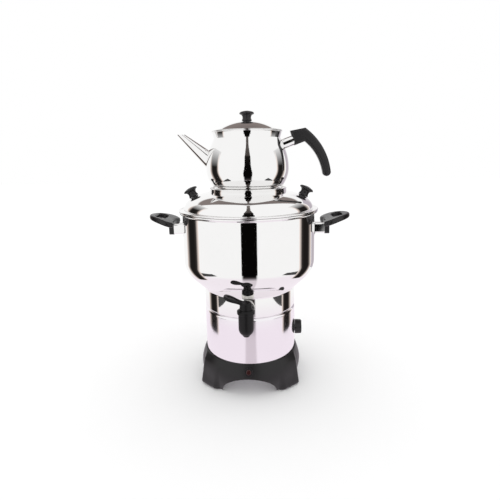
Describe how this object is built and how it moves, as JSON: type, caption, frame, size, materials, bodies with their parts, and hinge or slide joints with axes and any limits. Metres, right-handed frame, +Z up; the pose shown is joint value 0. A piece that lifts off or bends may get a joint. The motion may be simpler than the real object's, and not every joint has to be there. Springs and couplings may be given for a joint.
{
  "type": "electric samovar",
  "caption": "Electric samovar: steel boiler with a lever tap and side handles on a footed plastic base, and a teapot standing on its domed lid.",
  "frame": {"origin": "centre of the footprint on the floor, 10 mm in front of the vessel's axis", "axes": "+Z up, -Y towards the user and the tap, +X towards the thermostat knob and teapot handle"},
  "size_m": [0.38, 0.2807, 0.5098],
  "materials": {
    "polished_steel": "mirror-polished stainless steel sheet",
    "plated_steel": "zinc-plated steel",
    "element_steel": "dull sheathed heating tube",
    "base_plastic": "charcoal moulded plastic with a faint sheen",
    "bakelite": "black moulded bakelite",
    "tap_plastic": "black moulded plastic",
    "plug_plastic": "natural acetal",
    "silicone": "pale silicone",
    "rubber": "black rubber",
    "bezel_plastic": "black plastic",
    "lens_plastic": "dark red tinted plastic",
    "lamp_glass": "clear neon capsule",
    "inlet_plastic": "black plastic",
    "pin_brass": "plain brass",
    "control_plastic": "ivory heat-proof plastic"
  },
  "bodies": {
    "stand": {"base_shell": "base_plastic", "foot_pads": "rubber", "base_plate": "plated_steel", "base_screws": "plated_steel", "pilot_bezel": "bezel_plastic", "pilot_lens": "lens_plastic", "pilot_lamp": "lamp_glass", "lower_housing": "polished_steel", "tank": "polished_steel", "heating_element": "element_steel", "element_gaskets": "silicone", "element_nuts": "plated_steel", "thermal_cutout": "plated_steel", "terminal_block": "control_plastic", "thermostat_body": "control_plastic", "thermostat_nut": "plated_steel", "power_inlet": "inlet_plastic", "inlet_pins": "pin_brass", "inlet_screws": "plated_steel", "tap_body": "tap_plastic", "tap_cap": "tap_plastic", "tap_washers": "silicone", "tap_nut": "tap_plastic", "side_handle_right": "bakelite", "side_handle_left": "bakelite", "handle_bracket_right": "polished_steel", "handle_bracket_left": "polished_steel", "handle_screws": "plated_steel"},
    "tap_valve": {"tap_lever": "tap_plastic", "tap_plug": "plug_plastic", "tap_seal": "silicone"},
    "thermostat_dial": {"thermostat_knob": "bakelite", "thermostat_shaft": "plated_steel"},
    "pot_lid": {"pot_lid": "polished_steel", "lid_knob_right": "bakelite", "lid_knob_left": "bakelite", "lid_knob_screws": "plated_steel"},
    "teapot": {"teapot_body": "polished_steel", "teapot_disc": "polished_steel", "teapot_spout": "polished_steel", "handle_ferrule": "polished_steel", "handle_stud": "plated_steel", "teapot_handle": "bakelite"},
    "teapot_lid": {"teapot_lid": "polished_steel", "teapot_knob": "bakelite", "teapot_knob_screw": "plated_steel"}
  },
  "joints": [
    {"name": "tap_turn", "type": "hinge", "parent": "stand", "child": "tap_valve", "pos_m": [0, -0.125, 0.188], "axis": [0, 0, 1], "range_deg": [0, 90]},
    {"name": "thermostat_turn", "type": "hinge", "parent": "stand", "child": "thermostat_dial", "pos_m": [0.095, 0.01, 0.092], "axis": [1, 0, 0], "range_deg": [0, 270]},
    {"name": "lid_lift", "type": "slide", "parent": "stand", "child": "pot_lid", "axis": [0, 0, 1], "range_m": [0, 0.15]},
    {"name": "teapot_lift", "type": "slide", "parent": "pot_lid", "child": "teapot", "axis": [0, 0, 1], "range_m": [0, 0.12]},
    {"name": "teapot_lid_lift", "type": "slide", "parent": "teapot", "child": "teapot_lid", "axis": [0, 0, 1], "range_m": [0, 0.06]}
  ]
}
